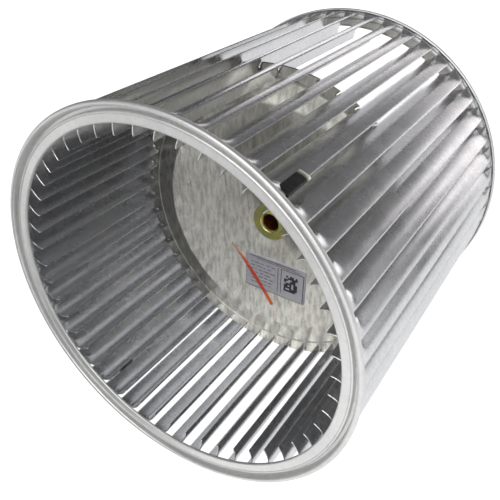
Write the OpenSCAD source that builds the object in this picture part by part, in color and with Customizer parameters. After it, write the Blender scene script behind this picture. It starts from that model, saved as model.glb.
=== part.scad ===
// Double-inlet blower wheel. One slit-and-formed strip carries all the blades and is
// bent round between two hemmed end rings. A pressed disc at mid-width, slotted round
// its edge for the blades, carries a steel hub with a set screw.
// The wheel turns about the Y axis, the origin is its centre and its front is at -Y.

/* [Wheel] */
// Diameter over the end rings
wheel_d = 270; // [262:1:290]
// Width over the end rings
wheel_w = 265; // [200:1:320]
// Diameter of the round inlet in each end ring
inlet_d = 243; // [240:1:246]

/* [Blades] */
// Number of blades round the strip
blade_count = 49; // [44:1:52]
// Thickness of the blade strip
strip_t = 0.55; // [0.5:0.05:0.7]
// Radius of the blade's curved section
blade_r = 18.5; // [18:0.1:19]
// Angle the blade's section sweeps from its lip to its inner edge
blade_sweep = 89; // [86:1:89]
// Angle between the blade's lip and the wheel's rim
lip_angle = 8; // [6:1:10]
// Distance of the blades' lips inside the wheel's outside radius
lip_inset = 2.3; // [2.2:0.1:2.4]
// Depth of the notch that clears the disc, out from the blade's inner edge
notch_depth = 6.8; // [6.4:0.1:8]
// Width of the notch that clears the disc
notch_w = 2.8; // [2.4:0.1:4]

/* [End rings] */
// Thickness of the ring sheet
ring_t = 0.7; // [0.6:0.05:0.8]
// Distance of the flat part of the ring behind its hem
ring_set_back = 2.5; // [2.3:0.1:3]
// Radial width of the flat part of the ring
flat_w = 7; // [6:0.1:7.2]
// Depth of the groove between the flat part and the hem
groove_depth = 2.8; // [1:0.1:3]
// Depth of the lip turned in round the inlet
lip_depth = 1.8; // [1:0.1:1.8]

/* [Centre disc] */
// Thickness of the disc
disc_t = 1.2; // [0.9:0.1:1.6]
// Outside diameter of the disc's fingers between the blades
disc_d = 245; // [242:1:250]
// Position of the front of the disc's slotted rim along the wheel's axis
rim_y = 2; // [1:0.1:3.5]
// Position of the front of the disc's flat along the wheel's axis
flat_y = -1; // [-2:0.1:0.5]
// Diameter at the outside of the sloping band
slope_outer_d = 225; // [218:1:230]
// Diameter at the inside of the sloping band
slope_inner_d = 190; // [184:1:200]
// Diameter at the outside of the shallow dish round the hub
dish_outer_d = 56; // [50:1:60]
// Diameter of the dish's flat floor, which the hub's flange sits on
dish_floor_d = 34; // [33:0.5:40]

/* [Hub] */
// Diameter of the hub
hub_d = 31; // [30:0.5:32]
// Length of the hub behind its front flange face
hub_len = 33; // [28:1:40]
// Diameter of the hub's raised nose
nose_d = 19.6; // [18:0.1:21]
// Diameter of the shaft bore
bore_d = 12.7; // [12.7, 15.875]

/* [Set screw] */
// Diameter of the screw's threads
screw_d = 7.94; // [7:0.01:8]
// Length of the screw below its head
screw_len = 12.7; // [11:0.1:16]
// Side of the square head
screw_head = 7.9; // [7:0.1:9]
// Distance of the screw's axis behind the hub's front flange face
screw_y = 22; // [18:0.5:24]

/* [Label and balance clips] */
// Width of the label
label_w = 56; // [40:1:60]
// Height of the label
label_h = 34; // [20:1:36]
// Thickness of the balance clips
clip_t = 0.6; // [0.5:0.05:0.8]

/* [Hidden] */
$fn = 180;

wheel_r = wheel_d / 2;
half_w = wheel_w / 2;
eye_r = inlet_d / 2;
pitch = 360 / blade_count;
// Angle that puts one blade's lip at the place where the outer balance clip sits
first_blade = -51.9;

// Blades: an arc of this centre, in a frame whose X runs through the blade's lip
lip_r = wheel_r - lip_inset;
arc_x = lip_r - blade_r * cos(lip_angle);
arc_y = blade_r * sin(lip_angle);
arc_start = -lip_angle - blade_sweep;
inner_r = norm([arc_x + blade_r * cos(arc_start), arc_y + blade_r * sin(arc_start)]);
notch_r = inner_r + notch_depth;
notch_y = rim_y + disc_t / 2;

// End rings, with heights measured from the middle of the wheel
flat_h = half_w - ring_set_back;
groove_h = flat_h - groove_depth;
hem_gap = 0.03;
hem_r = (lip_inset + strip_t / 2 + ring_t + hem_gap) / 2;
hem_mid_r = wheel_r - hem_r;
hem_in_r = wheel_r - 2 * hem_r;
hem_end_h = flat_h - 0.4;
blade_end_h = groove_h - ring_t - 0.1;
// The strip's edge, held inside the hem, overlaps the blades' ends by this much
band_overlap = 0.5;
band_top_h = half_w - hem_r;

// Disc and hub
slot_start = -81;
slot_clearance = 0.05;
neck_r = hub_d / 2 - 2.5;
flange_t = 1;
dish_y = flange_t;
chamfer = 1.5;
nose_h = 1;

// Set screw, in a radial hole; it rests just outside the shaft bore
screw_clearance = 0.05;
screw_rest = bore_d / 2 + 0.25;
screw_head_h = 6;
cup_d = 4.5;
cup_h = 1;

// Balance clips: leg length is an angle on the blade's arc
clip_clearance = 0.02;
clip_len = 23.2;
clip_leg = 17;
clip_bend = 8;
clip_front_y = 0.2 - blade_end_h;
inner_clip_len = 12;
inner_clip_front_y = -half_w + 16.5;
inner_clip_leg = 9;
inner_clip_blade = 25;
clip_web = 2;

label_t = 0.2;
label_corner = 2;
label_x = 6.3;
label_z = -49.5;
label_turn = 1;

// Stands a shape that was drawn about Z on the wheel's axis, with +Z becoming +Y
module on_axis() {
    rotate([-90, 0, 0]) children();
}

// Sheet curved like a blade, from height low to high, off the blade's middle surface by inner to outer
module arc_sheet(inner, outer, low, high, start, sweep) {
    translate([arc_x, arc_y, low])
        rotate([0, 0, start])
            rotate_extrude(angle = sweep)
                translate([blade_r + inner, 0]) square([outer - inner, high - low]);
}

module blade() {
    arc_sheet(-strip_t / 2, strip_t / 2, -blade_end_h - band_overlap, blade_end_h + band_overlap,
              arc_start, blade_sweep);
}

module tube(inner, outer, low, high) {
    translate([0, 0, low]) rotate_extrude() translate([inner, 0]) square([outer - inner, high - low]);
}

// Trims the blades' ends inside the band and cuts the notch that clears the disc
module blade_trim() {
    for (side = [0, 1]) mirror([0, 0, side])
        tube(inner_r - 5, hem_in_r + ring_t + hem_gap / 2, blade_end_h, half_w);
    tube(inner_r - 5, notch_r, notch_y - notch_w / 2, notch_y + notch_w / 2);
}

module blade_strip() {
    color([0.66, 0.67, 0.69]) on_axis() {
        difference() {
            for (i = [0 : blade_count - 1]) rotate([0, 0, first_blade + i * pitch]) blade();
            blade_trim();
        }
        for (side = [0, 1]) mirror([0, 0, side])
            tube(lip_r - strip_t / 2, lip_r + strip_t / 2, blade_end_h, band_top_h);
    }
}

// Half-section of an end ring: inlet lip, flat, groove and the hem over the strip's edge
module ring_section() {
    groove_in_r = eye_r + flat_w;
    translate([eye_r, flat_h - lip_depth]) square([ring_t, lip_depth]);
    translate([eye_r, flat_h - ring_t]) square([flat_w, ring_t]);
    translate([groove_in_r - ring_t, groove_h - ring_t]) square([ring_t, groove_depth + ring_t]);
    translate([groove_in_r - ring_t, groove_h - ring_t])
        square([hem_in_r + ring_t - groove_in_r + ring_t, ring_t]);
    translate([hem_in_r, groove_h - ring_t]) square([ring_t, half_w - hem_r - groove_h + ring_t]);
    translate([wheel_r - ring_t, hem_end_h]) square([ring_t, half_w - hem_r - hem_end_h]);
    translate([hem_mid_r, half_w - hem_r]) intersection() {
        difference() {
            circle(hem_r, $fn = 64);
            circle(hem_r - ring_t, $fn = 64);
        }
        translate([-hem_r, 0]) square([2 * hem_r, hem_r]);
    }
}

module end_ring(side) {
    color([0.74, 0.75, 0.77]) on_axis() mirror([0, 0, side]) rotate_extrude() ring_section();
}

module front_end_ring() {
    end_ring(1);
}

module rear_end_ring() {
    end_ring(0);
}

// Half-section of the disc: slotted rim, sloping band, flat, and the dish that holds the hub's flange
module disc_section() {
    slope_out = slope_outer_d / 2;
    slope_in = slope_inner_d / 2;
    dish_out = dish_outer_d / 2;
    dish_in = dish_floor_d / 2;
    polygon([
        [neck_r, dish_y], [dish_in, dish_y], [dish_out, flat_y], [slope_in, flat_y], [slope_out, rim_y],
        [disc_d / 2, rim_y], [disc_d / 2, rim_y + disc_t], [slope_out, rim_y + disc_t],
        [slope_in, flat_y + disc_t], [dish_out, flat_y + disc_t], [dish_in, dish_y + disc_t],
        [neck_r, dish_y + disc_t]
    ]);
}

module centre_disc() {
    color([0.72, 0.71, 0.67]) on_axis() difference() {
        rotate_extrude() disc_section();
        for (i = [0 : blade_count - 1]) rotate([0, 0, first_blade + i * pitch])
            arc_sheet(-strip_t / 2 - slot_clearance, strip_t / 2 + slot_clearance,
                      rim_y - 1, rim_y + disc_t + 1, slot_start, -lip_angle - slot_start);
    }
}

module hub() {
    body_r = hub_d / 2;
    color([0.80, 0.74, 0.42]) difference() {
        on_axis() rotate_extrude() polygon([
            [0, -nose_h], [nose_d / 2 - 0.4, -nose_h], [nose_d / 2, -nose_h + 0.4], [nose_d / 2, 0],
            [body_r, 0], [body_r, dish_y], [neck_r, dish_y], [neck_r, dish_y + disc_t],
            [body_r, dish_y + disc_t], [body_r, hub_len - 1], [body_r - 1, hub_len], [0, hub_len]
        ]);
        on_axis() translate([0, 0, -nose_h - 1]) cylinder(r = bore_d / 2, h = hub_len + nose_h + 2);
        on_axis() translate([0, 0, -nose_h])
            cylinder(r1 = bore_d / 2 + chamfer, r2 = bore_d / 2, h = chamfer);
        translate([0, screw_y, 0]) cylinder(r = screw_d / 2 + screw_clearance, h = hub_d);
    }
}

module set_screw() {
    color([0.30, 0.30, 0.32]) translate([0, screw_y, screw_rest]) difference() {
        union() {
            cylinder(r1 = screw_d / 2 - 0.8, r2 = screw_d / 2, h = 0.8);
            translate([0, 0, 0.8]) cylinder(r = screw_d / 2, h = screw_len - 0.8);
            intersection() {
                translate([-screw_head / 2, -screw_head / 2, screw_len])
                    cube([screw_head, screw_head, screw_head_h]);
                translate([0, 0, screw_len - 2])
                    cylinder(r1 = screw_head / 2, r2 = screw_head, h = screw_head_h / 2 + 2);
            }
            intersection() {
                translate([-screw_head / 2, -screw_head / 2, screw_len + 1])
                    cube([screw_head, screw_head, screw_head_h - 1]);
                translate([0, 0, screw_len]) cylinder(r = screw_head * 0.66, h = screw_head_h);
            }
        }
        translate([0, 0, -0.01]) cylinder(r1 = cup_d / 2, r2 = 0.5, h = cup_h);
    }
}

// Folded clip pushed over the free edge of a blade: two legs and the bend between them
module outer_balance_clip() {
    gap = strip_t / 2 + clip_clearance;
    back = clip_front_y + clip_len;
    leg_start = -lip_angle - clip_leg;
    color([0.78, 0.78, 0.74]) on_axis() rotate([0, 0, first_blade]) {
        arc_sheet(gap, gap + clip_t, clip_front_y, back, leg_start, clip_leg + clip_bend);
        arc_sheet(-gap - clip_t, -gap, clip_front_y, back, leg_start, clip_leg + clip_bend);
        arc_sheet(-gap - clip_t, gap + clip_t, clip_front_y, back,
                  clip_bend - lip_angle - clip_web, clip_web);
    }
}

// Smaller clip folded over the inner edge of another blade
module inner_balance_clip() {
    gap = strip_t / 2 + clip_clearance;
    front = inner_clip_front_y;
    back = front + inner_clip_len;
    leg_start = arc_start - clip_web - 0.1;
    color([0.45, 0.45, 0.45]) on_axis() rotate([0, 0, first_blade + inner_clip_blade * pitch]) {
        arc_sheet(gap, gap + clip_t, front, back, leg_start, inner_clip_leg);
        arc_sheet(-gap - clip_t, -gap, front, back, leg_start, inner_clip_leg);
        arc_sheet(-gap - clip_t, gap + clip_t, front, back, leg_start, clip_web);
    }
}

module label() {
    low = label_corner - label_w / 2;
    base = label_corner - label_h / 2;
    color([0.70, 0.71, 0.73]) translate([label_x, flat_y, label_z]) rotate([90, label_turn, 0])
        linear_extrude(label_t) {
            for (x = [low, -low], y = [base, -base]) translate([x, y]) circle(label_corner, $fn = 32);
            square([label_w - 2 * label_corner, label_h], center = true);
            square([label_w, label_h - 2 * label_corner], center = true);
        }
}

blade_strip();
front_end_ring();
rear_end_ring();
centre_disc();
hub();
set_screw();
outer_balance_clip();
inner_balance_clip();
label();
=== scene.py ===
"""Looks of a double-inlet blower wheel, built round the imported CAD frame.

The wheel turns about Y, its front is at -Y and the set screw points along +Z. Shapes are worked
out in millimetres, as a radius, an angle from +X towards +Z and a height along Y, and are made
in metres. A section is drawn as points (radius, height) and turned about Y.
"""

import math
import random

import bmesh
import bpy
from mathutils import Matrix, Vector, noise


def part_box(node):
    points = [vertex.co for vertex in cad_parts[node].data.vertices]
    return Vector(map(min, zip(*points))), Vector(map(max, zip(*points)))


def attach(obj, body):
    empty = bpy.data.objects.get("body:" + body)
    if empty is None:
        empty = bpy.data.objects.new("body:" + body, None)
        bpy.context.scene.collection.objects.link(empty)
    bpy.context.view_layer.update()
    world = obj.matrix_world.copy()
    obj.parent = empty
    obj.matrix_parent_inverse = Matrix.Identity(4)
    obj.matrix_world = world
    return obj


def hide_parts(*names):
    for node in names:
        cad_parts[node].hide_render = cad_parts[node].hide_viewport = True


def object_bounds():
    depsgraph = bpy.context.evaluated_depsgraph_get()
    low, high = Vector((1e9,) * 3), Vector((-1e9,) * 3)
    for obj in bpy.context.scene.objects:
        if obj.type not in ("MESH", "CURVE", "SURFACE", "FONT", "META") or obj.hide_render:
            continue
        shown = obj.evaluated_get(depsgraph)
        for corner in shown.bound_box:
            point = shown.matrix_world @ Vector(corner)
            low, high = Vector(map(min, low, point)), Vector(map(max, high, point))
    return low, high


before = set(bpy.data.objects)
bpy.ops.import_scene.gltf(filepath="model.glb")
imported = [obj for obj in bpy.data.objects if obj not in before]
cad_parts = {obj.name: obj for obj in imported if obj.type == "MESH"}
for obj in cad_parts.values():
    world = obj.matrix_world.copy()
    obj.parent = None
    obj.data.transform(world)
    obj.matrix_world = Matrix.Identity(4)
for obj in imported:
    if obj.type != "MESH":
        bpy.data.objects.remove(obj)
cad_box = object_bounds()
rng = random.Random(49)

MM = 0.001

# Wheel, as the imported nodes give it
WHEEL_R = cad_box[1][2] / MM
HALF_W = cad_box[1][1] / MM

# Blades
BLADE_COUNT = 49
PITCH = 2 * math.pi / BLADE_COUNT
FIRST_LIP = math.radians(51.9)
STRIP_T = 0.55
BLADE_R = 18.5
BLADE_SWEEP = math.radians(89)
LIP_ANGLE = math.radians(8)
LIP_R = WHEEL_R - 2.3
ARC_X = LIP_R - BLADE_R * math.cos(LIP_ANGLE)
ARC_Y = BLADE_R * math.sin(LIP_ANGLE)
BLADE_LEN = BLADE_R * BLADE_SWEEP
# Distances along the blade's section from its free edge
TICK_END = 2.0
JOIN_END = 10.6
DROP_END = 12.1
# Heights from the wheel's middle
OPENING_H = HALF_W - 3.8
BAND_TOP_H = HALF_W - 1.65
TIP_H = HALF_W - 6.4
TICK_W = 0.55
DIP_LEN = 9.0
DIP_SIDE = 5.0
NOTCH_Y = 2.6
NOTCH_R = 119.9
INNER_R = 113.1
NOTCH_HALF = 1.5
NOTCH_FLOOR_HALF = 1.2

# Disc
DISC_T = 1.2
RIM_Y = 2.0
FLAT_Y = -1.0
DISH_Y = 1.0
HUB_NECK_R = 13.0
DISC_R = 122.5
SLOT_START_R = 118.3
SLOT_R = 122.0
SLOT_W = 1.9

# Hub and screw
HUB_R = 15.5
HUB_LEN = 33.0
BORE_R = 6.35
SCREW_R = 3.97
SCREW_Y = 22.0
SCREW_LEN = 12.7
SCREW_LEAD = 1.41
THREAD_DEPTH = 0.62
CUP_R = 2.2
HEAD_SIDE = 7.9


# ---------------------------------------------------------------- mesh helpers

def polar(radius, angle, height):
    """Point in metres at a radius from the wheel's axis and an angle from +X towards +Z."""
    return (radius * math.cos(angle) * MM, height * MM, radius * math.sin(angle) * MM)


def mix(a, b, share):
    return a + (b - a) * share


def smooth(t):
    t = min(1.0, max(0.0, t))
    return t * t * (3 - 2 * t)


def spread(start, end, count):
    """count + 1 evenly spaced values from start to end."""
    return [mix(start, end, i / count) for i in range(count + 1)]


def new_piece(name, points, faces, material, body):
    mesh = bpy.data.meshes.new(name)
    mesh.from_pydata(points, [], faces)
    mesh.validate()
    piece = bpy.data.objects.new(name, mesh)
    bpy.context.scene.collection.objects.link(piece)
    mesh.materials.append(material)
    for polygon in mesh.polygons:
        polygon.use_smooth = True
    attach(piece, body)
    return piece


def fix_normals(piece):
    work = bmesh.new()
    work.from_mesh(piece.data)
    bmesh.ops.recalc_face_normals(work, faces=work.faces)
    work.to_mesh(piece.data)
    work.free()


def sharpen(piece, degrees=35):
    """Smooth shading that breaks at edges sharper than the angle."""
    piece.data.set_sharp_from_angle(angle=math.radians(degrees))


def thicken(piece, thickness):
    """Gives a sheet its thickness, half to each side."""
    solid = piece.modifiers.new("sheet", "SOLIDIFY")
    solid.thickness = thickness * MM
    solid.offset = 0
    return solid


def filleted(corners, steps=5):
    """Points along an outline whose corners are (x, y, fillet radius)."""
    out = []
    for i, (x, y, radius) in enumerate(corners):
        if radius == 0 or i in (0, len(corners) - 1):
            out.append((x, y))
            continue
        here = Vector((x, y))
        to_last = Vector(corners[i - 1][:2]) - here
        to_next = Vector(corners[i + 1][:2]) - here
        half = to_last.angle(to_next) / 2
        reach = min(radius / math.tan(half), 0.49 * to_last.length, 0.49 * to_next.length)
        start = here + to_last.normalized() * reach
        end = here + to_next.normalized() * reach
        for k in range(steps + 1):
            t = k / steps
            point = start * (1 - t) ** 2 + here * 2 * t * (1 - t) + end * t ** 2
            out.append((point.x, point.y))
    return out


def split_long(points, longest):
    """The same outline with its long stretches cut into shorter ones."""
    out = [points[0]]
    for a, b in zip(points, points[1:]):
        count = max(1, math.ceil(math.dist(a, b) / longest))
        out += [(mix(a[0], b[0], k / count), mix(a[1], b[1], k / count)) for k in range(1, count + 1)]
    return out


def sheet_loop(points, thickness):
    """Closed outline of a sheet of that thickness whose middle follows the points."""
    left, right = [], []
    for i, (x, y) in enumerate(points):
        before = Vector(points[max(i - 1, 0)])
        after = Vector(points[min(i + 1, len(points) - 1)])
        along = (after - before).normalized()
        side = Vector((-along.y, along.x)) * thickness / 2
        left.append((x + side.x, y + side.y))
        right.append((x - side.x, y - side.y))
    return left + right[::-1]


def lathe(name, loop, segments, material, closed=True, wobble=None):
    """Turns a section of (radius, height) about the wheel's axis."""
    points = []
    for k in range(segments):
        angle = 2 * math.pi * k / segments
        for radius, height in loop:
            dr, dh = wobble(radius, angle, height) if wobble else (0, 0)
            points.append(polar(radius + dr, angle, height + dh))
    count = len(loop)
    faces = []
    for k in range(segments):
        ring, after = k * count, (k + 1) % segments * count
        for i in range(count if closed else count - 1):
            j = (i + 1) % count
            faces.append((ring + i, ring + j, after + j, after + i))
    piece = new_piece(name, points, faces, material, "wheel")
    fix_normals(piece)
    return piece


# ---------------------------------------------------------------- materials

class Nodes:
    """A small helper for wiring a material's nodes."""

    def __init__(self, name):
        self.material = bpy.data.materials.new(name)
        self.material.use_nodes = True
        self.tree = self.material.node_tree
        self.surface = self.tree.nodes["Principled BSDF"]
        place = self.add("ShaderNodeTexCoord")
        self.place = place.outputs["Object"]

    def add(self, kind, **settings):
        node = self.tree.nodes.new(kind)
        for key, value in settings.items():
            setattr(node, key, value)
        return node

    def join(self, source, target):
        self.tree.links.new(source, target)

    def stretched(self, scale):
        """Object coordinates in metres, scaled per axis."""
        mapping = self.add("ShaderNodeMapping")
        mapping.inputs["Scale"].default_value = scale
        self.join(self.place, mapping.inputs["Vector"])
        return mapping.outputs["Vector"]

    def noise(self, scale, detail=3.0, stretch=(1, 1, 1), rough=0.5):
        node = self.add("ShaderNodeTexNoise")
        node.inputs["Scale"].default_value = scale
        node.inputs["Detail"].default_value = detail
        node.inputs["Roughness"].default_value = rough
        self.join(self.stretched(stretch), node.inputs["Vector"])
        return node.outputs["Fac"]

    def cells(self, scale, stretch=(1, 1, 1)):
        """Random grey value per crystal."""
        node = self.add("ShaderNodeTexVoronoi")
        node.inputs["Scale"].default_value = scale
        self.join(self.stretched(stretch), node.inputs["Vector"])
        grey = self.add("ShaderNodeSeparateColor")
        self.join(node.outputs["Color"], grey.inputs["Color"])
        return grey.outputs["Red"]

    def remap(self, source, low, high, from_low=0.0, from_high=1.0):
        node = self.add("ShaderNodeMapRange")
        node.inputs["From Min"].default_value = from_low
        node.inputs["From Max"].default_value = from_high
        node.inputs["To Min"].default_value = low
        node.inputs["To Max"].default_value = high
        self.join(source, node.inputs["Value"])
        return node.outputs["Result"]

    def math(self, operation, a, b):
        node = self.add("ShaderNodeMath", operation=operation)
        for value, socket in ((a, node.inputs[0]), (b, node.inputs[1])):
            if isinstance(value, (int, float)):
                socket.default_value = value
            else:
                self.join(value, socket)
        return node.outputs["Value"]

    def along(self, source, axis):
        """How far a vector reaches along an axis."""
        node = self.add("ShaderNodeVectorMath", operation="DOT_PRODUCT")
        node.inputs[1].default_value = axis
        self.join(source, node.inputs[0])
        return node.outputs["Value"]

    def distance(self, centre):
        """Distance of the point from a line through the centre along Y."""
        across = self.add("ShaderNodeVectorMath", operation="MULTIPLY")
        across.inputs[1].default_value = (1, 0, 1)
        self.join(self.place, across.inputs[0])
        gap = self.add("ShaderNodeVectorMath", operation="DISTANCE")
        gap.inputs[1].default_value = centre
        self.join(across.outputs["Vector"], gap.inputs[0])
        return gap.outputs["Value"]

    def scaled_colour(self, colour, factor):
        """A base colour times a grey factor."""
        node = self.add("ShaderNodeVectorMath", operation="SCALE")
        node.inputs[0].default_value = colour
        self.join(factor, node.inputs["Scale"])
        return node.outputs["Vector"]

    def mix_colour(self, factor, a, b):
        node = self.add("ShaderNodeMix", data_type="RGBA")
        self.join(factor, node.inputs["Factor"])
        for value, socket in ((a, node.inputs[6]), (b, node.inputs[7])):
            if isinstance(value, tuple):
                socket.default_value = value
            else:
                self.join(value, socket)
        return node.outputs[2]

    def bump(self, height, strength, distance):
        node = self.add("ShaderNodeBump")
        node.inputs["Strength"].default_value = strength
        node.inputs["Distance"].default_value = distance
        self.join(height, node.inputs["Height"])
        self.join(node.outputs["Normal"], self.surface.inputs["Normal"])


# Painted shade on the disc's front, where it mirrors something dark, in metres from the axis
SLOPE_START, SLOPE_END = 0.0945, 0.1125
BAND_PAINTED_SHADE, FLAT_PAINTED_SHADE = 0.34, 0.44
LEFT_AXIS = (0.966, 0, -0.258)
UPPER_SPOT = (0.054, 0, 0.064)
LOWER_SPOT = (-0.123, 0, -0.144)


def painted_disc_shade(look):
    """Grey factor of painted shade for the disc's front: darker left on its sloping band, and up and right
    on its flat.
    """
    from_axis = look.distance((0, 0, 0))
    facing = look.along(look.add("ShaderNodeNewGeometry").outputs["Normal"], (0, -1, 0))
    front = look.remap(facing, 0, 1, 0.0, 0.3)
    # Painted shade on the left of the sloping band
    band = look.remap(from_axis, 0, 1, SLOPE_START, SLOPE_START + 0.0013)
    left = look.remap(look.along(look.place, LEFT_AXIS), 1, 0, -0.045, -0.028)
    band_part = look.math("MULTIPLY", look.math("MULTIPLY", band, left), front)
    band_shade = look.remap(band_part, 1.0, BAND_PAINTED_SHADE)
    # Painted shade on the flat and the rim, near the upper spot or far from the lower one
    flat = look.remap(from_axis, 1, 0, SLOPE_START, SLOPE_START + 0.002)
    rim = look.remap(from_axis, 0, 1, SLOPE_END, SLOPE_END + 0.001)
    near = look.remap(look.distance(UPPER_SPOT), 1, 0, 0.080, 0.090)
    far = look.remap(look.distance(LOWER_SPOT), 0, 1, 0.196, 0.212)
    region = look.math("MULTIPLY", look.math("MAXIMUM", near, far), front)
    flat_part = look.math("MULTIPLY", look.math("ADD", flat, rim), region)
    return look.math("MULTIPLY", band_shade, look.remap(flat_part, 1.0, FLAT_PAINTED_SHADE))


def galvanized(name, colour, spangle, contrast, roughness, streaks=None, metal=1.0, shade=None):
    """Zinc-coated sheet: crystals of slightly different grey, faint soiling and a fine grain, plus painted
    shade where a shade is given.
    """
    look = Nodes(name)
    crystals = look.remap(look.cells(spangle), 1 - contrast, 1 + contrast)
    soil = look.remap(look.noise(18, 5), 0.94, 1.06, 0.3, 0.7)
    grain = look.remap(look.noise(1100, 2), 1 - contrast, 1 + contrast, 0.3, 0.7)
    tone = look.math("MULTIPLY", look.math("MULTIPLY", crystals, soil), grain)
    if streaks:
        scale, stretch, depth = streaks
        streak = look.remap(look.noise(scale, 3, stretch, 0.6), 1 - depth, 1 + depth, 0.32, 0.68)
        tone = look.math("MULTIPLY", tone, streak)
    # Painted shade, where one is given, darkens the colour
    if shade:
        tone = look.math("MULTIPLY", tone, shade(look))
    look.join(look.scaled_colour(colour, tone), look.surface.inputs["Base Color"])
    look.surface.inputs["Metallic"].default_value = metal
    dull = look.remap(look.noise(60, 4), roughness - 0.03, roughness + 0.03, 0.3, 0.7)
    look.join(dull, look.surface.inputs["Roughness"])
    look.bump(look.noise(700, 2), 0.1, 0.0001)
    return look.material


GOLD = (0.80, 0.70, 0.22, 1)
GREEN_GOLD = (0.52, 0.62, 0.26, 1)
PINK_GOLD = (0.86, 0.52, 0.34, 1)
# Painted shade in the hub's bore, in a dark orange-brown
BORE_PAINTED_SHADE = (0.27, 0.13, 0.07, 1)
# Colour of a clip's lighter end
LIGHT_END_STEEL = (0.66, 0.65, 0.56, 1)


def yellow_zinc(name):
    """Turned steel under yellow chromate: turning rings and a green to gold drift, with painted shade, dark
    brown, in the bore.
    """
    look = Nodes(name)
    drift = look.remap(look.noise(150, 2), 0, 1, 0.38, 0.62)
    hue = look.mix_colour(drift, GOLD, GREEN_GOLD)
    blush = look.remap(look.noise(320, 2), 0, 0.7, 0.55, 0.75)
    hue = look.mix_colour(blush, hue, PINK_GOLD)
    radius = look.distance((0, 0, 0))
    # Painted shade: the bore's wall turns dark orange-brown
    in_bore = look.remap(radius, 1.0, 0.0, 0.0066, 0.0074)
    look.join(look.mix_colour(in_bore, hue, BORE_PAINTED_SHADE), look.surface.inputs["Base Color"])
    look.surface.inputs["Metallic"].default_value = 1.0
    look.join(look.remap(look.noise(500, 3), 0.2, 0.42), look.surface.inputs["Roughness"])
    rings = look.math("SINE", look.math("MULTIPLY", radius, 14000.0), 0.0)
    look.bump(look.math("ADD", rings, look.noise(700, 3)), 0.1, 0.0001)
    return look.material


def dark_metal(name, colour, roughness, wear, bright_end=None):
    """Plain steel with a mottled finish and scuffed patches; one end along Y may be lighter."""
    look = Nodes(name)
    scuff = look.remap(look.noise(300, 3), 0, wear, 0.5, 0.75)
    bright = tuple(min(1.0, c * 2.2 + 0.1) for c in colour[:3]) + (1,)
    hue = look.mix_colour(scuff, colour, bright)
    # Lighter colour over one end along Y, where bright_end is given
    if bright_end is not None:
        split = look.add("ShaderNodeSeparateXYZ")
        look.join(look.place, split.inputs["Vector"])
        light_end = look.remap(split.outputs["Y"], 0, 1, bright_end * MM, (bright_end + 1.5) * MM)
        hue = look.mix_colour(light_end, hue, LIGHT_END_STEEL)
    look.join(hue, look.surface.inputs["Base Color"])
    look.surface.inputs["Metallic"].default_value = 1.0
    look.join(look.remap(look.noise(900, 3), roughness - 0.08, roughness + 0.08),
              look.surface.inputs["Roughness"])
    look.bump(look.noise(900, 2), 0.08, 0.0001)
    return look.material


def printed_film(name, colour, roughness, metal):
    """Label film or its print: faintly mottled, slightly wavy."""
    look = Nodes(name)
    tone = look.remap(look.noise(260, 4), 0.92, 1.08, 0.3, 0.7)
    look.join(look.scaled_colour(colour, tone), look.surface.inputs["Base Color"])
    look.surface.inputs["Metallic"].default_value = metal
    look.join(look.remap(look.noise(400, 2), roughness - 0.06, roughness + 0.06),
              look.surface.inputs["Roughness"])
    look.bump(look.noise(120, 2), 0.2, 0.0003)
    return look.material


# The marking stroke's start, bend and end on the disc, as (x, z)
STROKE_START, STROKE_BEND, STROKE_END = (-35.7, -29.5), (-16.2, -47.0), (3.8, -78.5)
WASH_BROWN = (0.50, 0.34, 0.24, 1)
WASH_RED = (0.55, 0.19, 0.08, 1)
PAINT_RED = (0.50, 0.045, 0.012, 1)
PAINT_ORANGE = (0.72, 0.16, 0.035, 1)


def brushed_paint(name):
    """A hasty stroke of marking paint: blotchy where it starts, red in the middle, orange at its end."""
    look = Nodes(name)
    split = look.add("ShaderNodeSeparateXYZ")
    look.join(look.place, split.inputs["Vector"])
    along = look.remap(split.outputs["Z"], 0, 1, STROKE_START[1] * MM, STROKE_END[1] * MM)
    blotch = look.remap(look.noise(420, 3, (1, 1, 1), 0.6), -0.12, 0.12, 0.35, 0.65)
    place = look.math("ADD", along, blotch)
    speckle = look.remap(look.noise(900, 2), 0, 1, 0.45, 0.6)
    wash = look.mix_colour(speckle, WASH_BROWN, WASH_RED)
    body = look.mix_colour(look.remap(place, 0, 1, 0.16, 0.34), wash, PAINT_RED)
    hue = look.mix_colour(look.remap(place, 0, 1, 0.74, 0.9), body, PAINT_ORANGE)
    look.join(hue, look.surface.inputs["Base Color"])
    look.surface.inputs["Roughness"].default_value = 0.45
    look.bump(look.noise(700, 3), 0.4, 0.0002)
    return look.material


# Scale, stretch and depth of the streaks in the disc's zinc
DISC_STREAKS = (330, (1, 1, 0.28), 0.28)
blade_metal = galvanized("galvanized_blades", (0.67, 0.675, 0.69), 520, 0.05, 0.27, metal=0.97)
ring_metal = galvanized("galvanized_ring", (0.72, 0.72, 0.715), 300, 0.035, 0.46, metal=0.8)
# The disc's zinc carries painted shade on its front
disc_metal = galvanized("galvanized_disc", (0.88, 0.86, 0.775), 700, 0.06, 0.30,
                        streaks=DISC_STREAKS, metal=0.8, shade=painted_disc_shade)
hub_metal = yellow_zinc("yellow_zinc")
screw_metal = dark_metal("black_steel", (0.07, 0.07, 0.08, 1), 0.4, 0.5)
bright_metal = dark_metal("bright_clip", (0.08, 0.08, 0.08, 1), 0.34, 0.3, bright_end=-107)
dull_metal = dark_metal("dull_clip", (0.16, 0.16, 0.16, 1), 0.4, 0.4)
label_film = printed_film("label_foil", (0.50, 0.49, 0.53), 0.42, 0.5)
label_ink = printed_film("label_ink", (0.03, 0.03, 0.035), 0.6, 0.0)
faint_ink = printed_film("label_faint_ink", (0.14, 0.14, 0.16), 0.6, 0.0)
marking_paint = brushed_paint("marking_paint")


# ---------------------------------------------------------------- blade strip

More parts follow.
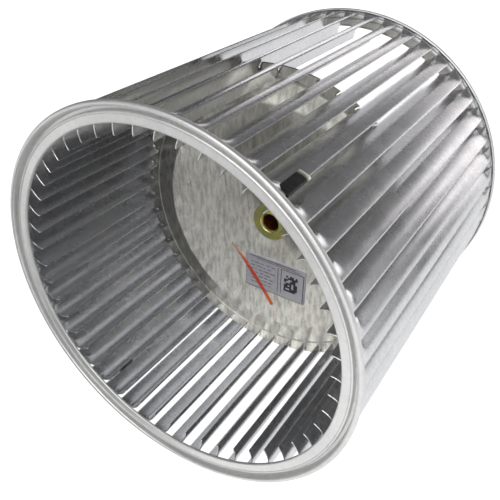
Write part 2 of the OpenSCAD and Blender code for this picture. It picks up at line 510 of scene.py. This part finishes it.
def blade_section(s):
    """Radius, and angle past the free edge, of the blade's arc at distance s from that edge."""
    turn = -LIP_ANGLE - s / BLADE_R
    x = ARC_X + BLADE_R * math.cos(turn)
    y = ARC_Y + BLADE_R * math.sin(turn)
    return math.hypot(x, y), -math.atan2(y, x)


def section_at(radius):
    """Distance from the free edge at which the blade's section crosses that radius."""
    low, high = 0.0, BLADE_LEN
    for _ in range(30):
        s = (low + high) / 2
        if blade_section(s)[0] > radius:
            low = s
        else:
            high = s
    return low


NOTCH_START = section_at(NOTCH_R)


def end_height(s):
    """Height at which the blade's end is cut, at distance s from its free edge."""
    height = OPENING_H - (OPENING_H - TIP_H) * smooth((s - JOIN_END) / (DROP_END - JOIN_END))
    corner = 0.7
    past = max(0.0, s - (BLADE_LEN - corner)) / corner
    return height - corner * (1 - math.sqrt(max(0.0, 1 - past * past)))


def notch_half(s):
    """Half the width of the tapered notch that clears the disc."""
    depth = (NOTCH_R - blade_section(s)[0]) / (NOTCH_R - INNER_R)
    return mix(NOTCH_FLOOR_HALF, NOTCH_HALF, min(1.0, max(0.0, depth)))


class BladeShape:
    """One blade's small departures from the common form."""

    def __init__(self):
        self.bow = rng.uniform(-0.25, 0.25)
        self.twist = rng.uniform(-0.3, 0.3)
        self.wave = rng.uniform(0, 2 * math.pi)
        self.lift = rng.uniform(-0.1, 0.12)

    def at(self, lip, s, height):
        """Point of the blade: on its arc along its length, and flattened into the band at its ends."""
        reach = (OPENING_H - abs(height)) / DIP_LEN
        aside = max(0.0, s - JOIN_END) / DIP_SIDE
        dip = smooth(reach + aside)
        radius, past = blade_section(s)
        along = (height + OPENING_H) / (2 * OPENING_H)
        hold = smooth((OPENING_H - abs(height)) / 25)
        drift = hold * (self.bow * math.sin(math.pi * along)
                        + self.twist * math.sin(2 * math.pi * along + self.wave))
        past += drift * (s / BLADE_LEN) / radius
        radius += hold * self.lift * math.sin(3 * math.pi * along + self.wave)
        return polar(mix(LIP_R, radius, dip), lip + mix(s / LIP_R, past, dip), height)


def strip_columns():
    columns = spread(0, TICK_END, 2) + spread(TICK_END, JOIN_END, 5)[1:]
    columns += spread(JOIN_END, DROP_END, 3)[1:] + spread(DROP_END, NOTCH_START, 4)[1:]
    columns += spread(NOTCH_START, BLADE_LEN - 0.7, 7)[1:] + [BLADE_LEN - 0.25, BLADE_LEN]
    return columns


END_STEPS = [0, TICK_W, 1.3, 2.3, 3.6, 5.2, 7.2, 9.6, 13, 19, 28]


def half_rows(s, away, count):
    """Heights from a blade's end to the disc notch's edge, at distance s from the free edge."""
    top = end_height(s)
    last = END_STEPS[-1]
    squeeze = (top - (OPENING_H - last)) / last
    rows = [top - step * squeeze for step in END_STEPS]
    edge = notch_half(s) + away * NOTCH_Y
    rows += spread(OPENING_H - last, edge + 4, count)[1:] + [edge + 1.2, edge]
    return [away * h for h in rows]


def blade_rows(s):
    """All heights of a blade's points, front to rear; the disc's notch lies between the middle two."""
    return half_rows(s, -1, 5) + half_rows(s, 1, 5)[::-1]


def add_blade(points, faces, lip):
    """Adds one blade and returns the numbers of its points as columns of rows."""
    shape = BladeShape()
    columns = strip_columns()
    grid = []
    for s in columns:
        grid.append([])
        for height in blade_rows(s):
            grid[-1].append(len(points))
            points.append(shape.at(lip, s, height))
    rows = len(grid[0])
    notch_row = rows // 2 - 1
    for c in range(len(columns) - 1):
        for r in range(rows - 1):
            in_tick = columns[c] < TICK_END - 0.01 and r in (0, rows - 2)
            in_notch = r == notch_row and columns[c] > NOTCH_START - 0.01
            if not in_tick and not in_notch:
                faces.append((grid[c][r], grid[c + 1][r], grid[c + 1][r + 1], grid[c][r + 1]))
    return grid


def band_columns():
    joined = [s for s in strip_columns() if s <= JOIN_END + 0.01]
    return joined, spread(JOIN_END, LIP_R * PITCH, 3)[1:-1]


def add_band(points, faces, grids, side):
    """Joins all the blades' ends on one side into the band that the end ring is hemmed over."""
    joined, free = band_columns()
    row = 0 if side < 0 else -1
    loop = []
    for i in range(BLADE_COUNT):
        lip = FIRST_LIP - i * PITCH
        for c, s in enumerate(joined + free):
            angle = lip + s / LIP_R
            cut = s < TICK_END - 0.01 or c >= len(joined)
            if cut:
                base = len(points)
                points.append(polar(LIP_R, angle, side * OPENING_H))
            else:
                base = grids[i][c][row]
            top = len(points)
            points.append(polar(LIP_R, angle, side * BAND_TOP_H))
            loop.append((i, c, base, top))
    width = len(joined) + len(free)
    for n, (i, c, base, top) in enumerate(loop):
        if c < width - 1:
            after = loop[n + 1]
        else:
            after = loop[(i - 1) % BLADE_COUNT * width]
        faces.append((base, after[2], after[3], top))


def build_strip():
    points, faces, grids = [], [], []
    for i in range(BLADE_COUNT):
        grids.append(add_blade(points, faces, FIRST_LIP - i * PITCH))
    for side in (-1, 1):
        add_band(points, faces, grids, side)
    strip = new_piece("blade_strip_sheet", points, faces, blade_metal, "wheel")
    fix_normals(strip)
    thicken(strip, STRIP_T)
    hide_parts("blade_strip")


# ---------------------------------------------------------------- end rings

def ring_outline():
    """Middle line of a ring's sheet, from the inlet lip out to the edge of the hem."""
    top = HALF_W - 2.85
    crest = HALF_W - 0.35
    floor = HALF_W - 5.65
    corners = [(121.85, top - 1.45, 0), (121.85, top, 0.8), (127.2, top, 0.5), (127.75, top + 0.45, 0.4),
               (128.4, top + 0.3, 0.5), (128.8, floor, 0.6), (131.2, floor, 0.6), (131.95, top - 0.6, 0.8),
               (132.05, crest, 1.3), (134.65, crest, 1.3), (134.62, top - 0.1, 0.9), (133.7, top - 0.45, 0)]
    return split_long(filleted(corners, 6), 1.0)


def ring_wobble(radius, angle, height):
    """The sheet's slight waviness, which stays out of the way of the strip's edge."""
    drift = noise.noise(Vector((3 * math.cos(angle), 3 * math.sin(angle), radius * 0.02)))
    dimple = noise.noise(Vector((14 * math.cos(angle), 14 * math.sin(angle), radius * 0.1)))
    inner = smooth((130 - radius) / 4)
    return 0, inner * (0.16 * drift + 0.07 * dimple)


def build_ring(name, side):
    loop = [(radius, side * height) for radius, height in sheet_loop(ring_outline(), 0.7)]

    def wobble(radius, angle, height):
        return ring_wobble(radius, angle + side, height)

    ring = lathe(name + "_formed", loop, 294, ring_metal, wobble=wobble)
    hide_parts(name)


# ---------------------------------------------------------------- centre disc

def disc_outline():
    """Middle line of the disc's sheet as (radius, height), from the hub out to the slots."""
    half = DISC_T / 2
    corners = [(HUB_NECK_R, DISH_Y + half, 0), (17, DISH_Y + half, 0.6), (28, FLAT_Y + half, 1.2),
               (95, FLAT_Y + half, 1.2), (112.0, RIM_Y + half + 0.3, 1.0), (113.0, RIM_Y + half - 0.3, 0.7),
               (114.1, RIM_Y + half, 0.7), (SLOT_START_R, RIM_Y + half, 0)]
    rim = [(radius, RIM_Y + half) for radius in (119, 119.9, 120.8, 121.6, DISC_R)]
    return split_long(filleted(corners, 4), 2.2) + rim


def slot_angle(radius):
    """Angle past a blade's free edge at which the blade crosses the disc's rim."""
    return blade_section(section_at(max(radius, SLOT_START_R)))[1]


def disc_relief(radius, angle):
    """Height that waviness and pressing marks add to the disc."""
    x, z = radius * math.cos(angle), radius * math.sin(angle)
    wave = 0.22 * noise.noise(Vector((x * 0.02, z * 0.02, 1.5)))
    ripple = 0.05 * noise.noise(Vector((x * 0.11, z * 0.11, 4.5)))
    near_band = math.exp(-((radius - 96) / 6) ** 2)
    pucker = noise.noise(Vector((9 * math.cos(angle), 9 * math.sin(angle), radius * 0.09)))
    return wave + ripple + 0.55 * near_band * pucker * smooth((radius - 30) / 20)


def build_disc():
    outline = disc_outline()
    per_pitch = 9
    slot_share = SLOT_W / (SLOT_R * PITCH)
    steps = [-slot_share / 2] + [slot_share / 2 + (1 - slot_share) * k / (per_pitch - 1)
                                 for k in range(per_pitch - 1)]
    points, faces = [], []
    for i in range(BLADE_COUNT):
        for share in steps:
            for radius, height in outline:
                angle = FIRST_LIP - i * PITCH + slot_angle(radius) + share * PITCH
                hold = smooth((114 - radius) / 6) * smooth((radius - 18) / 12)
                points.append(polar(radius, angle, height + hold * disc_relief(radius, angle)))
    rows = len(outline)
    for i in range(BLADE_COUNT):
        for k in range(per_pitch):
            here = (i * per_pitch + k) * rows
            if k < per_pitch - 1:
                after = here + rows
            else:
                after = (i - 1) % BLADE_COUNT * per_pitch * rows
            for r in range(rows - 1):
                in_slot = k == 0 and outline[r][0] > SLOT_START_R - 0.01
                if not in_slot:
                    faces.append((here + r, after + r, after + r + 1, here + r + 1))
    disc = new_piece("centre_disc_sheet", points, faces, disc_metal, "wheel")
    fix_normals(disc)
    thicken(disc, DISC_T)
    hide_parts("centre_disc")


# ---------------------------------------------------------------- hub and screw

def build_hub():
    rear = DISH_Y + DISC_T
    corners = [(BORE_R, HUB_LEN, 0), (BORE_R, 1.2, 0.3), (BORE_R + 1.5, -0.7, 0.3), (8.4, -1, 0.2),
               (9.3, -1, 0.3), (9.8, -0.5, 0.3), (9.9, 0.15, 0.25), (11.5, 0.1, 0.5), (14.6, 0.05, 0.4),
               (HUB_R, 0.4, 0.4), (HUB_R, DISH_Y, 0.1), (HUB_NECK_R, DISH_Y, 0), (HUB_NECK_R, rear, 0),
               (HUB_R, rear, 0.3), (HUB_R, HUB_LEN - 0.8, 0.3), (HUB_R - 0.8, HUB_LEN, 0.3),
               (BORE_R + 0.8, HUB_LEN, 0.3), (BORE_R, HUB_LEN - 0.8, 0)]
    loop = split_long(filleted(corners[1:], 5), 3.0)
    hub = lathe("hub_turned", loop, 144, hub_metal)
    cut_screw_hole(hub)
    sharpen(hub, 40)
    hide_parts("hub")


def cut_screw_hole(hub):
    """Drills the hub's radial hole."""
    hole = bmesh.new()
    bmesh.ops.create_cone(hole, cap_ends=True, segments=48, radius1=(SCREW_R + 0.06) * MM,
                          radius2=(SCREW_R + 0.06) * MM, depth=HUB_R * MM)
    bmesh.ops.translate(hole, verts=hole.verts, vec=(0, SCREW_Y * MM, (HUB_R / 2 + 3) * MM))
    mesh = bpy.data.meshes.new("hole")
    hole.to_mesh(mesh)
    hole.free()
    cutter = bpy.data.objects.new("hole", mesh)
    bpy.context.scene.collection.objects.link(cutter)
    cut = hub.modifiers.new("screw hole", "BOOLEAN")
    cut.operation = "DIFFERENCE"
    cut.object = cutter
    cut.solver = "EXACT"
    bpy.context.view_layer.update()
    graph = bpy.context.evaluated_depsgraph_get()
    drilled = bpy.data.meshes.new_from_object(hub.evaluated_get(graph), depsgraph=graph)
    hub.modifiers.clear()
    hub.data = drilled
    bpy.data.objects.remove(cutter)


def build_screw():
    """Square-head set screw with real threads and a cup point."""
    low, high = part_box("set_screw")
    start = low.z / MM
    head = (high.z / MM) - start - SCREW_LEN
    around, rows = 48, 96
    points, faces = [], []
    for r in range(rows + 1):
        along = SCREW_LEN * r / rows
        ends = min(smooth(along / 1.2), smooth((SCREW_LEN - along) / 1.0))
        for k in range(around):
            turn = along / SCREW_LEAD - k / around
            tooth = abs((turn % 1.0) * 2 - 1)
            point_taper = 0.25 * (1 - smooth(along / 1.0))
            radius = SCREW_R - THREAD_DEPTH + THREAD_DEPTH * ends * tooth - point_taper
            angle = 2 * math.pi * k / around
            points.append((radius * math.cos(angle) * MM, (SCREW_Y + radius * math.sin(angle)) * MM,
                           (start + along) * MM))
    for r in range(rows):
        for k in range(around):
            j = (k + 1) % around
            faces.append((r * around + k, r * around + j, (r + 1) * around + j, (r + 1) * around + k))
    cup = len(points)
    for k in range(around):
        angle = 2 * math.pi * k / around
        points.append((CUP_R * math.cos(angle) * MM, (SCREW_Y + CUP_R * math.sin(angle)) * MM,
                       start * MM))
        faces.append((k, (k + 1) % around, cup + (k + 1) % around, cup + k))
    tip = len(points)
    points.append((0, SCREW_Y * MM, (start + 1.0) * MM))
    faces += [(cup + k, cup + (k + 1) % around, tip) for k in range(around)]
    faces.append(tuple(rows * around + k for k in range(around)))
    screw = new_piece("set_screw_threaded", points, faces, screw_metal, "screw")
    fix_normals(screw)
    sharpen(screw, 50)
    add_screw_head(start + SCREW_LEN - 0.3, head + 0.3)
    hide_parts("set_screw")


def add_screw_head(base, height):
    """The screw's square head, with its top edges rounded off and its corners turned down."""
    work = bmesh.new()
    bmesh.ops.create_cube(work, size=1)
    bmesh.ops.scale(work, verts=work.verts, vec=(HEAD_SIDE * MM, HEAD_SIDE * MM, height * MM))
    bmesh.ops.bevel(work, geom=work.edges[:], offset=0.5 * MM, segments=3, affect="EDGES")
    for vert in work.verts:
        reach = math.hypot(vert.co.x, vert.co.y) / MM
        drop = max(0.0, reach - HEAD_SIDE * 0.45) * 0.5
        if vert.co.z > 0:
            vert.co.z -= drop * MM
    bmesh.ops.translate(work, verts=work.verts, vec=(0, SCREW_Y * MM, (base + height / 2) * MM))
    mesh = bpy.data.meshes.new("set_screw_head")
    work.to_mesh(mesh)
    work.free()
    head = bpy.data.objects.new("set_screw_head", mesh)
    bpy.context.scene.collection.objects.link(head)
    mesh.materials.append(screw_metal)
    for polygon in mesh.polygons:
        polygon.use_smooth = True
    sharpen(head, 40)
    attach(head, "screw")


# ---------------------------------------------------------------- balance clips

def clip_section(leg, side_gap, past_edge):
    """Points (distance from the blade's edge, distance off its face) of a clip folded over that edge."""
    out = [(mix(leg, 0, k / 6), side_gap) for k in range(7)]
    for k in range(1, 8):
        turn = math.pi * k / 8
        out.append((-past_edge * math.sin(turn), side_gap * math.cos(turn)))
    out += [(mix(0, leg, k / 6), -side_gap) for k in range(7)]
    return out


CLIP_T = 0.6
CLIP_GAP = 0.62
CLIP_BEND = 1.5
OUTER_CLIP_LEG = 5.9
INNER_CLIP_LEG = 3.1
INNER_CLIP_BLADE = 25


def build_clip(name, lip, inner_edge, leg, front, back, material):
    """Spring clip folded over a blade's free edge, or over its inner edge."""
    section = clip_section(leg, CLIP_GAP, CLIP_BEND)
    rows = 9
    points, faces = [], []
    for r in range(rows):
        height = mix(front, back, r / (rows - 1))
        for reach, off in section:
            s = BLADE_LEN - reach if inner_edge else reach
            turn = -LIP_ANGLE - s / BLADE_R
            x = ARC_X + (BLADE_R + off) * math.cos(turn)
            y = ARC_Y + (BLADE_R + off) * math.sin(turn)
            points.append(polar(math.hypot(x, y), lip - math.atan2(y, x), height))
    count = len(section)
    for r in range(rows - 1):
        for i in range(count - 1):
            a = r * count + i
            faces.append((a, a + 1, a + 1 + count, a + count))
    clip = new_piece(name + "_folded", points, faces, material, "wheel")
    fix_normals(clip)
    thicken(clip, CLIP_T)
    edge = clip.modifiers.new("edges", "BEVEL")
    edge.width = 0.12 * MM
    edge.segments = 2
    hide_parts(name)


# ---------------------------------------------------------------- label and paint

LABEL_X, LABEL_Z = 6.3, -49.5
LABEL_W, LABEL_H = 56.0, 34.0
LABEL_TURN = math.radians(1)


def label_point(x, z, off):
    """Point on the label, from its middle, at a distance in front of the disc's flat."""
    turned_x = x * math.cos(LABEL_TURN) + z * math.sin(LABEL_TURN)
    turned_z = z * math.cos(LABEL_TURN) - x * math.sin(LABEL_TURN)
    x, z = LABEL_X + turned_x, LABEL_Z + turned_z
    lift = disc_relief(math.hypot(x, z), math.atan2(z, x))
    return (x * MM, (FLAT_Y + lift - off) * MM, z * MM)


def build_label():
    cols, rows, corner = 28, 18, 2.0
    points, faces = [], []
    for r in range(rows + 1):
        for c in range(cols + 1):
            x = mix(-LABEL_W / 2, LABEL_W / 2, c / cols)
            z = mix(-LABEL_H / 2, LABEL_H / 2, r / rows)
            over_x = max(0.0, abs(x) - (LABEL_W / 2 - corner))
            over_z = max(0.0, abs(z) - (LABEL_H / 2 - corner))
            reach = math.hypot(over_x, over_z)
            if reach > corner:
                x -= math.copysign(over_x * (1 - corner / reach), x)
                z -= math.copysign(over_z * (1 - corner / reach), z)
            crease = 0.12 * max(0.0, noise.noise(Vector((x * 0.25, z * 0.08, 7.0))))
            points.append(label_point(x, z, 0.12 + crease))
    for r in range(rows):
        for c in range(cols):
            a = r * (cols + 1) + c
            faces.append((a, a + 1, a + cols + 2, a + cols + 1))
    label = new_piece("label_film", points, faces, label_film, "wheel")
    fix_normals(label)
    thicken(label, 0.14)
    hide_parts("label")


def bar(points, faces, x, z, width, height):
    """Adds one printed bar, centred at x, z on the label."""
    cols = max(1, int(width / 3))
    rows = max(1, int(height / 3))
    base = len(points)
    for r in range(rows + 1):
        for c in range(cols + 1):
            px = x + mix(-width / 2, width / 2, c / cols)
            pz = z + mix(-height / 2, height / 2, r / rows)
            points.append(label_point(px, pz, 0.36))
    for r in range(rows):
        for c in range(cols):
            a = base + r * (cols + 1) + c
            faces.append((a, a + 1, a + cols + 2, a + cols + 1))


def print_piece(name, bars, material):
    points, faces = [], []
    for x, z, width, height in bars:
        bar(points, faces, x, z, width, height)
    piece = new_piece(name, points, faces, material, "wheel")
    thicken(piece, 0.05)


def build_print():
    """Generic bars and blocks in the places of the label's print; nothing on it can be read."""
    dark = [(-3, 14.2, 44, 0.5), (2, 12.6, 40, 0.35), (2.6, -1, 0.4, 24), (5.6, -1, 0.5, 24),
            (26, -2, 0.6, 26), (16, 10.9, 20, 0.45)]
    cell = 1.75
    filled_share = 0.58
    for col in range(7):
        for row in range(9):
            if rng.random() < filled_share:
                dark.append((9.3 + col * cell, -8.2 + row * cell, cell, cell))
    faint = []
    for line in range(7):
        z = 8.5 - line * 3.3
        x = -23.0
        while x < -3:
            width = rng.uniform(1.5, 5.5)
            faint.append((x + width / 2, z, width, 0.7))
            x += width + rng.uniform(0.8, 2.2)
    print_piece("label_print_dark", dark, label_ink)
    print_piece("label_print_faint", faint, faint_ink)


def build_paint_stroke():
    """Marking stroke from the disc's flat across the label, thin where the brush landed."""
    start, bend, end = Vector(STROKE_START), Vector(STROKE_BEND), Vector(STROKE_END)
    steps = 60
    points, faces = [], []
    for k in range(steps + 1):
        t = k / steps
        middle = start * (1 - t) ** 2 + bend * 2 * t * (1 - t) + end * t ** 2
        along = ((bend - start) * (1 - t) + (end - bend) * t).normalized()
        side = Vector((-along.y, along.x))
        ragged = noise.noise(Vector((t * 22, 3.0, 0.0)))
        width = (0.9 + 0.9 * smooth((t - 0.08) / 0.2) + 0.5 * ragged) * smooth((1.02 - t) / 0.03)
        for q in range(5):
            across = q / 2 - 1
            spot = middle + side * width * across
            on_label = abs(spot.x - LABEL_X) < LABEL_W / 2 and abs(spot.y - LABEL_Z) < LABEL_H / 2
            base = FLAT_Y + disc_relief(spot.length, math.atan2(spot.y, spot.x))
            lift = 0.08 + (0.34 if on_label else 0.0) + 0.18 * (1 - across ** 2)
            points.append((spot.x * MM, (base - lift) * MM, spot.y * MM))
    for k in range(steps):
        for q in range(4):
            a = k * 5 + q
            faces.append((a, a + 1, a + 6, a + 5))
    stroke = new_piece("paint_stroke", points, faces, marking_paint, "wheel")
    fix_normals(stroke)
    thicken(stroke, 0.06)


# ---------------------------------------------------------------- studio

PINKISH = (1.0, 0.955, 0.955)


def soft_box(name, place, target, size, power, colour=(1, 1, 1)):
    light = bpy.data.lights.new(name, "AREA")
    light.shape = "RECTANGLE"
    light.size, light.size_y = size
    light.energy = power
    light.color = colour
    lamp = bpy.data.objects.new(name, light)
    bpy.context.scene.collection.objects.link(lamp)
    lamp.location = place
    lamp.rotation_euler = (Vector(target) - Vector(place)).to_track_quat("-Z", "Y").to_euler()
    lamp.visible_camera = False


# A dark oval on the floor in front of the wheel, which the disc and the blades reflect and the camera
# doesn't see. Each axis of the oval is divided by its half length, and is followed by its offset.
DARK_AXES = (((-1.45, -2.87, 0.0), -1.5), ((-6.36, 3.21, 0.0), 0.08))
# The oval is dark out to the first of these distances and gone at the second, in its half lengths
OVAL_INNER, OVAL_OUTER = 0.85, 1.2
OVAL_GLOW = 0.03
FLOOR_GLOW = 0.78
FLOOR_GREY = (0.5, 0.5, 0.5)


def build_floor():
    """A pale floor that glows as a lit table does, with a dark oval that only reflections see."""
    size = 6.0
    level = cad_box[0][2] - 0.0005
    mesh = bpy.data.meshes.new("floor")
    mesh.from_pydata([(-size, -size, level), (size, -size, level), (size, size, level),
                      (-size, size, level)], [], [(0, 1, 2, 3)])
    floor = bpy.data.objects.new("floor", mesh)
    bpy.context.scene.collection.objects.link(floor)
    look = Nodes("floor_white")
    look.surface.inputs["Roughness"].default_value = 0.9
    look.surface.inputs["Emission Color"].default_value = (1, 1, 1, 1)
    ray = look.add("ShaderNodeLightPath")
    squares = []
    for axis, offset in DARK_AXES:
        step = look.math("ADD", look.along(look.place, axis), offset)
        squares.append(look.math("MULTIPLY", step, step))
    away = look.math("SQRT", look.math("ADD", *squares), 0.0)
    table = look.remap(away, OVAL_GLOW, FLOOR_GLOW, OVAL_INNER, OVAL_OUTER)
    look.join(look.scaled_colour(FLOOR_GREY, table), look.surface.inputs["Base Color"])
    glow = look.math("MAXIMUM", table, ray.outputs["Is Camera Ray"])
    look.join(glow, look.surface.inputs["Emission Strength"])
    mesh.materials.append(look.material)


WALL_DIM = (0.04, 0.042, 0.046, 1)
WALL_BRIGHT = (0.17, 0.17, 0.17, 1)
WALL_SEEN = (1, 1, 1, 1)


def build_world():
    """Studio walls: dim near the horizon, brighter overhead, and plain white to the camera itself."""
    world = bpy.data.worlds.new("studio")
    world.use_nodes = True
    bpy.context.scene.world = world
    tree = world.node_tree
    place = tree.nodes.new("ShaderNodeTexCoord")
    split = tree.nodes.new("ShaderNodeSeparateXYZ")
    ramp = tree.nodes.new("ShaderNodeValToRGB")
    tree.links.new(place.outputs["Generated"], split.inputs["Vector"])
    tree.links.new(split.outputs["Z"], ramp.inputs["Fac"])
    ramp.color_ramp.elements[0].position = 0.0
    ramp.color_ramp.elements[0].color = WALL_DIM
    ramp.color_ramp.elements[1].position = 0.9
    ramp.color_ramp.elements[1].color = WALL_BRIGHT
    walls = tree.nodes["Background"]
    tree.links.new(ramp.outputs["Color"], walls.inputs["Color"])
    seen = tree.nodes.new("ShaderNodeBackground")
    seen.inputs["Color"].default_value = WALL_SEEN
    ray = tree.nodes.new("ShaderNodeLightPath")
    pick = tree.nodes.new("ShaderNodeMixShader")
    tree.links.new(ray.outputs["Is Camera Ray"], pick.inputs["Fac"])
    tree.links.new(walls.outputs["Background"], pick.inputs[1])
    tree.links.new(seen.outputs["Background"], pick.inputs[2])
    tree.links.new(pick.outputs["Shader"], tree.nodes["World Output"].inputs["Surface"])


# The photograph's viewpoint: the eye in wheel radii, the lens, and the tilt and turn in degrees
EYE = (1.5213, -2.6021, 1.7862)
EYE_UNIT = 135 * MM
LENS = 43.784
EYE_TILT, EYE_TURN = 33.238, 32.529


def build_camera():
    camera = bpy.data.cameras.new("camera")
    camera.sensor_width = 36
    camera.lens = LENS
    eye = bpy.data.objects.new("camera", camera)
    bpy.context.scene.collection.objects.link(eye)
    eye.location = [reach * EYE_UNIT for reach in EYE]
    eye.rotation_euler = (math.pi / 2 - math.radians(EYE_TILT), 0, math.radians(EYE_TURN))
    bpy.context.scene.camera = eye


build_strip()
build_ring("front_end_ring", -1)
build_ring("rear_end_ring", 1)
build_disc()
build_hub()
build_screw()
build_clip("outer_balance_clip", FIRST_LIP, False, OUTER_CLIP_LEG, -HALF_W + 6.3, -HALF_W + 29.5,
           bright_metal)
build_clip("inner_balance_clip", FIRST_LIP - INNER_CLIP_BLADE * PITCH, True, INNER_CLIP_LEG,
           -HALF_W + 16.5, -HALF_W + 28.5, dull_metal)
build_label()
build_print()
build_paint_stroke()
build_floor()
build_world()
soft_box("backdrop", place=(-0.1, 1.6, 0.3), target=(0, 0, 0.1), size=(2.2, 0.8), power=9, colour=PINKISH)
soft_box("right_back", place=(1.5, 0.9, 0.6), target=(0, 0, 0), size=(1.0, 0.9), power=2)
soft_box("front_top", place=(0.4, -1.4, 1.0), target=(0, 0, 0), size=(2.0, 1.2), power=27)
build_camera()
bpy.context.scene.view_settings.view_transform = "Standard"
